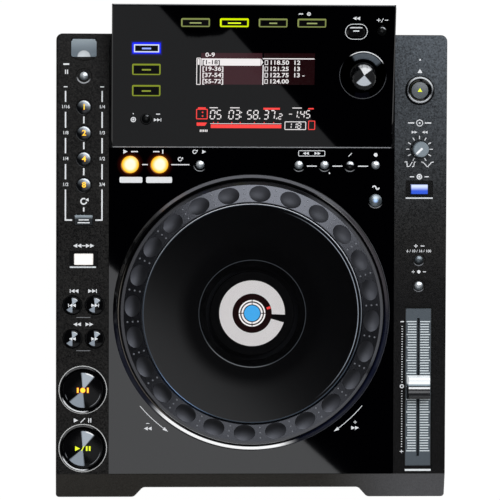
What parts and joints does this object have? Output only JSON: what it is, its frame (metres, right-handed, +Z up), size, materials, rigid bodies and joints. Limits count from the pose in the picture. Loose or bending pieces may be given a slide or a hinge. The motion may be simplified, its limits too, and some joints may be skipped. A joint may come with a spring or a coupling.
{
  "type": "tabletop disc player",
  "caption": "Tabletop disc player for DJ use: slot-loading drive, large dimpled jog wheel, sloping display, push keys, tempo fader and knobs, with rear sockets.",
  "frame": {"origin": "on the surface the player stands on, at the middle of its overall width and depth", "axes": "+X to the player's right, +Y to its rear, +Z up"},
  "size_m": [0.305, 0.3844, 0.1064],
  "materials": {
    "bottom_case": "black powder coat",
    "rubber_feet": "black rubber",
    "upper_cabinet": "black, finely textured",
    "deck_panel": "piano black",
    "display_housing": "black",
    "display_window": "piano black with a clear screen area",
    "trim_rings": "gloss black",
    "jog_holder": "black moulding with steel bearings",
    "jog_display": "black display with silver ring",
    "jog_ring": "gloss black",
    "jog_plate": "gloss black lacquer",
    "jog_lens": "clear, gloss",
    "drive_frame": "folded sheet",
    "drive_turntable": "black",
    "pickup_sled": "black",
    "loading_roller": "black rubber",
    "selector_plunger": "turned steel",
    "selector_knob": "dark spun metal",
    "speed_knob": "black, ribbed",
    "tempo_fader": "grey scale plate",
    "tempo_cap": "silver grey",
    "usb_cover": "grey",
    "sockets": "black and nickel",
    "power_key": "black",
    "circuit_boards": "green boards",
    "metal_key": "silver plating",
    "lit_key": "translucent, lit from below",
    "dark_key": "gloss black"
  },
  "bodies": {
    "player": {"bottom_case": "bottom_case", "circuit_boards": "circuit_boards", "deck_panel": "deck_panel", "display_housing": "display_housing", "display_window": "display_window", "drive_frame": "drive_frame", "jog_display": "jog_display", "jog_holder": "jog_holder", "rubber_feet": "rubber_feet", "sockets": "sockets", "tempo_fader": "tempo_fader", "trim_rings": "trim_rings", "upper_cabinet": "upper_cabinet"},
    "stop_key": {"stop_key": "metal_key"},
    "beat_1_key": {"beat_1_key": "metal_key"},
    "beat_2_key": {"beat_2_key": "metal_key"},
    "beat_4_key": {"beat_4_key": "metal_key"},
    "beat_8_key": {"beat_8_key": "metal_key"},
    "beat_select_key": {"beat_select_key": "metal_key"},
    "reverse_key": {"reverse_key": "lit_key"},
    "track_back_key": {"track_back_key": "metal_key"},
    "track_forward_key": {"track_forward_key": "metal_key"},
    "search_back_key": {"search_back_key": "metal_key"},
    "search_forward_key": {"search_forward_key": "metal_key"},
    "cue_key": {"cue_key": "metal_key"},
    "play_key": {"play_key": "metal_key"},
    "eject_key": {"eject_key": "metal_key"},
    "jog_mode_key": {"jog_mode_key": "lit_key"},
    "tempo_range_key": {"tempo_range_key": "metal_key"},
    "master_tempo_key": {"master_tempo_key": "metal_key"},
    "loop_in_key": {"loop_in_key": "lit_key"},
    "loop_out_key": {"loop_out_key": "lit_key"},
    "reloop_key": {"reloop_key": "metal_key"},
    "call_back_key": {"call_back_key": "metal_key"},
    "call_forward_key": {"call_forward_key": "metal_key"},
    "delete_key": {"delete_key": "metal_key"},
    "memory_key": {"memory_key": "metal_key"},
    "slip_key": {"slip_key": "metal_key"},
    "browse_key": {"browse_key": "dark_key"},
    "tag_list_key": {"tag_list_key": "dark_key"},
    "info_key": {"info_key": "dark_key"},
    "menu_key": {"menu_key": "dark_key"},
    "source_link_key": {"source_link_key": "dark_key"},
    "source_usb_key": {"source_usb_key": "dark_key"},
    "source_disc_key": {"source_disc_key": "dark_key"},
    "time_mode_key": {"time_mode_key": "dark_key"},
    "back_key": {"back_key": "dark_key"},
    "tag_key": {"tag_key": "dark_key"},
    "jog_wheel": {"jog_ring": "jog_ring"},
    "jog_top": {"jog_plate": "jog_plate", "jog_lens": "jog_lens"},
    "selector_shaft": {"selector_plunger": "selector_plunger"},
    "selector": {"selector_knob": "selector_knob"},
    "speed": {"speed_knob": "speed_knob"},
    "fader_cap": {"tempo_cap": "tempo_cap"},
    "port_cover": {"usb_cover": "usb_cover"},
    "power": {"power_key": "power_key"},
    "turntable": {"drive_turntable": "drive_turntable"},
    "sled": {"pickup_sled": "pickup_sled"},
    "roller": {"loading_roller": "loading_roller"}
  },
  "joints": [
    {"name": "jog_turn", "type": "hinge", "parent": "player", "child": "jog_wheel", "pos_m": [0, -0.047, 0.075], "axis": [0, 0, 1], "continuous": true},
    {"name": "jog_touch", "type": "slide", "parent": "jog_wheel", "child": "jog_top", "axis": [0, 0, -1], "range_m": [0, 0.0004], "stiffness_N_per_m": 4000, "springref_m": -0.0006},
    {"name": "selector_press", "type": "slide", "parent": "player", "child": "selector_shaft", "axis": [0, 0.2591, -0.9658], "range_m": [0, 0.0005], "stiffness_N_per_m": 900, "springref_m": -0.0007},
    {"name": "selector_turn", "type": "hinge", "parent": "selector_shaft", "child": "selector", "pos_m": [0.085, 0.13829, 0.09224], "axis": [0, -0.2591, 0.9658], "continuous": true},
    {"name": "speed_turn", "type": "hinge", "parent": "player", "child": "speed", "pos_m": [0.131, 0.0809, 0.075], "axis": [0, 0, 1], "range_deg": [-284, 16]},
    {"name": "tempo_slide", "type": "slide", "parent": "player", "child": "fader_cap", "axis": [0, 1, 0], "range_m": [-0.05, 0.05]},
    {"name": "cover_hinge", "type": "hinge", "parent": "player", "child": "port_cover", "pos_m": [-0.131, 0.1645, 0.0741], "axis": [-1, 0, 0], "range_deg": [0, 100]},
    {"name": "power_press", "type": "slide", "parent": "player", "child": "power", "axis": [0, -1, 0], "range_m": [0, 0.002]},
    {"name": "disc_spin", "type": "hinge", "parent": "player", "child": "turntable", "pos_m": [0, -0.1119, 0.05], "axis": [0, 0, 1], "continuous": true},
    {"name": "sled_slide", "type": "slide", "parent": "player", "child": "sled", "axis": [0, 1, 0], "range_m": [0, 0.036]},
    {"name": "roller_turn", "type": "hinge", "parent": "player", "child": "roller", "pos_m": [0, -0.1679, 0.0452], "axis": [1, 0, 0], "continuous": true},
    {"name": "cue_press", "type": "slide", "parent": "player", "child": "cue_key", "axis": [0, 0, -1], "range_m": [0, 0.001], "stiffness_N_per_m": 600, "springref_m": -0.0006},
    {"name": "play_press", "type": "slide", "parent": "player", "child": "play_key", "axis": [0, 0, -1], "range_m": [0, 0.001], "stiffness_N_per_m": 600, "springref_m": -0.0006},
    {"name": "eject_press", "type": "slide", "parent": "player", "child": "eject_key", "axis": [0, 0, -1], "range_m": [0, 0.0008], "stiffness_N_per_m": 600, "springref_m": -0.0006},
    {"name": "jog_mode_press", "type": "slide", "parent": "player", "child": "jog_mode_key", "axis": [0, 0, -1], "range_m": [0, 0.0005], "stiffness_N_per_m": 900, "springref_m": -0.0006},
    {"name": "loop_in_press", "type": "slide", "parent": "player", "child": "loop_in_key", "axis": [0, 0, -1], "range_m": [0, 0.0005], "stiffness_N_per_m": 900, "springref_m": -0.0006},
    {"name": "menu_press", "type": "slide", "parent": "player", "child": "menu_key", "axis": [0, 0.2591, -0.9658], "range_m": [0, 0.0005], "stiffness_N_per_m": 900, "springref_m": -0.0006},
    {"name": "stop_press", "type": "slide", "parent": "player", "child": "stop_key", "axis": [0, 0, -1], "range_m": [0, 0.0005], "stiffness_N_per_m": 900, "springref_m": -0.0006},
    {"name": "beat_1_press", "type": "slide", "parent": "player", "child": "beat_1_key", "axis": [0, 0, -1], "range_m": [0, 0.0005], "stiffness_N_per_m": 900, "springref_m": -0.0006},
    {"name": "beat_2_press", "type": "slide", "parent": "player", "child": "beat_2_key", "axis": [0, 0, -1], "range_m": [0, 0.0005], "stiffness_N_per_m": 900, "springref_m": -0.0006},
    {"name": "beat_4_press", "type": "slide", "parent": "player", "child": "beat_4_key", "axis": [0, 0, -1], "range_m": [0, 0.0005], "stiffness_N_per_m": 900, "springref_m": -0.0006},
    {"name": "beat_8_press", "type": "slide", "parent": "player", "child": "beat_8_key", "axis": [0, 0, -1], "range_m": [0, 0.0005], "stiffness_N_per_m": 900, "springref_m": -0.0006},
    {"name": "beat_select_press", "type": "slide", "parent": "player", "child": "beat_select_key", "axis": [0, 0, -1], "range_m": [0, 0.0005], "stiffness_N_per_m": 900, "springref_m": -0.0006},
    {"name": "reverse_press", "type": "slide", "parent": "player", "child": "reverse_key", "axis": [0, 0, -1], "range_m": [0, 0.0005], "stiffness_N_per_m": 900, "springref_m": -0.0006},
    {"name": "track_back_press", "type": "slide", "parent": "player", "child": "track_back_key", "axis": [0, 0, -1], "range_m": [0, 0.0005], "stiffness_N_per_m": 900, "springref_m": -0.0006},
    {"name": "track_forward_press", "type": "slide", "parent": "player", "child": "track_forward_key", "axis": [0, 0, -1], "range_m": [0, 0.0005], "stiffness_N_per_m": 900, "springref_m": -0.0006},
    {"name": "search_back_press", "type": "slide", "parent": "player", "child": "search_back_key", "axis": [0, 0, -1], "range_m": [0, 0.0005], "stiffness_N_per_m": 900, "springref_m": -0.0006},
    {"name": "search_forward_press", "type": "slide", "parent": "player", "child": "search_forward_key", "axis": [0, 0, -1], "range_m": [0, 0.0005], "stiffness_N_per_m": 900, "springref_m": -0.0006},
    {"name": "tempo_range_press", "type": "slide", "parent": "player", "child": "tempo_range_key", "axis": [0, 0, -1], "range_m": [0, 0.0005], "stiffness_N_per_m": 900, "springref_m": -0.0006},
    {"name": "master_tempo_press", "type": "slide", "parent": "player", "child": "master_tempo_key", "axis": [0, 0, -1], "range_m": [0, 0.0005], "stiffness_N_per_m": 900, "springref_m": -0.0006},
    {"name": "loop_out_press", "type": "slide", "parent": "player", "child": "loop_out_key", "axis": [0, 0, -1], "range_m": [0, 0.0005], "stiffness_N_per_m": 900, "springref_m": -0.0006},
    {"name": "reloop_press", "type": "slide", "parent": "player", "child": "reloop_key", "axis": [0, 0, -1], "range_m": [0, 0.0005], "stiffness_N_per_m": 900, "springref_m": -0.0006},
    {"name": "call_back_press", "type": "slide", "parent": "player", "child": "call_back_key", "axis": [0, 0, -1], "range_m": [0, 0.0005], "stiffness_N_per_m": 900, "springref_m": -0.0006},
    {"name": "call_forward_press", "type": "slide", "parent": "player", "child": "call_forward_key", "axis": [0, 0, -1], "range_m": [0, 0.0005], "stiffness_N_per_m": 900, "springref_m": -0.0006},
    {"name": "delete_press", "type": "slide", "parent": "player", "child": "delete_key", "axis": [0, 0, -1], "range_m": [0, 0.0005], "stiffness_N_per_m": 900, "springref_m": -0.0006},
    {"name": "memory_press", "type": "slide", "parent": "player", "child": "memory_key", "axis": [0, 0, -1], "range_m": [0, 0.0005], "stiffness_N_per_m": 900, "springref_m": -0.0006},
    {"name": "slip_press", "type": "slide", "parent": "player", "child": "slip_key", "axis": [0, 0, -1], "range_m": [0, 0.0005], "stiffness_N_per_m": 900, "springref_m": -0.0006},
    {"name": "browse_press", "type": "slide", "parent": "player", "child": "browse_key", "axis": [0, 0.2591, -0.9658], "range_m": [0, 0.0005], "stiffness_N_per_m": 900, "springref_m": -0.0006},
    {"name": "tag_list_press", "type": "slide", "parent": "player", "child": "tag_list_key", "axis": [0, 0.2591, -0.9658], "range_m": [0, 0.0005], "stiffness_N_per_m": 900, "springref_m": -0.0006},
    {"name": "info_press", "type": "slide", "parent": "player", "child": "info_key", "axis": [0, 0.2591, -0.9658], "range_m": [0, 0.0005], "stiffness_N_per_m": 900, "springref_m": -0.0006},
    {"name": "source_link_press", "type": "slide", "parent": "player", "child": "source_link_key", "axis": [0, 0.2591, -0.9658], "range_m": [0, 0.0005], "stiffness_N_per_m": 900, "springref_m": -0.0006},
    {"name": "source_usb_press", "type": "slide", "parent": "player", "child": "source_usb_key", "axis": [0, 0.2591, -0.9658], "range_m": [0, 0.0005], "stiffness_N_per_m": 900, "springref_m": -0.0006},
    {"name": "source_disc_press", "type": "slide", "parent": "player", "child": "source_disc_key", "axis": [0, 0.2591, -0.9658], "range_m": [0, 0.0005], "stiffness_N_per_m": 900, "springref_m": -0.0006},
    {"name": "time_mode_press", "type": "slide", "parent": "player", "child": "time_mode_key", "axis": [0, 0.2591, -0.9658], "range_m": [0, 0.0005], "stiffness_N_per_m": 900, "springref_m": -0.0006},
    {"name": "back_press", "type": "slide", "parent": "player", "child": "back_key", "axis": [0, 0.2591, -0.9658], "range_m": [0, 0.0005], "stiffness_N_per_m": 900, "springref_m": -0.0006},
    {"name": "tag_press", "type": "slide", "parent": "player", "child": "tag_key", "axis": [0, 0.2591, -0.9658], "range_m": [0, 0.0005], "stiffness_N_per_m": 900, "springref_m": -0.0006}
  ]
}
